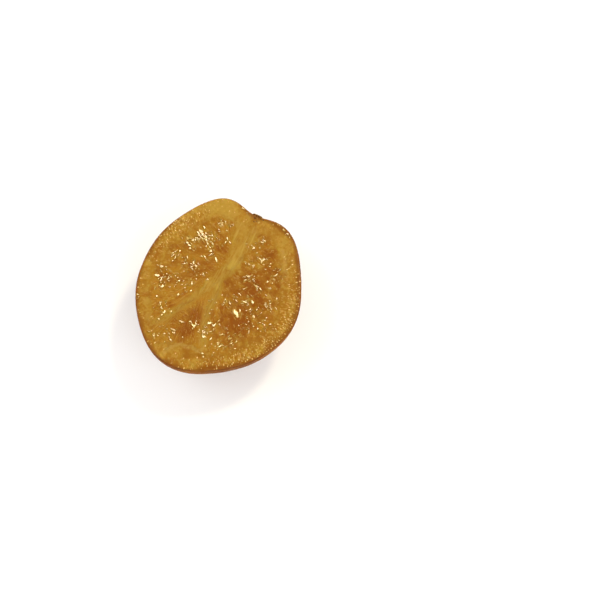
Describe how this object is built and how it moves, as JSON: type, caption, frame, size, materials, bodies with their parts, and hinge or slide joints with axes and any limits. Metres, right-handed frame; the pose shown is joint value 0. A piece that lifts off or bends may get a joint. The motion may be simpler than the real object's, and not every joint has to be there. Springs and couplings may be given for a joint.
{
  "type": "orange half",
  "caption": "Half of a small orange, cut from stem to blossom end, lying on its round back with the wet cut face up and a dry stem button in the dimple.",
  "frame": {"origin": "on the surface it rests on, under the middle of the half's outline", "axes": "+Z out of the cut face, +Y towards the stem dimple, +X to the right when the cut face is seen from above with the stem end up"},
  "size_m": [0.0656, 0.074, 0.0317],
  "materials": {
    "peel_and_pulp": "wet and glossy, translucent amber pulp inside a thick ochre rim with a thin dark orange skin",
    "stem_button": "dry, rough, dark brown"
  },
  "bodies": {
    "root": {"orange_half": "peel_and_pulp", "stem_button": "stem_button"}
  },
  "joints": []
}
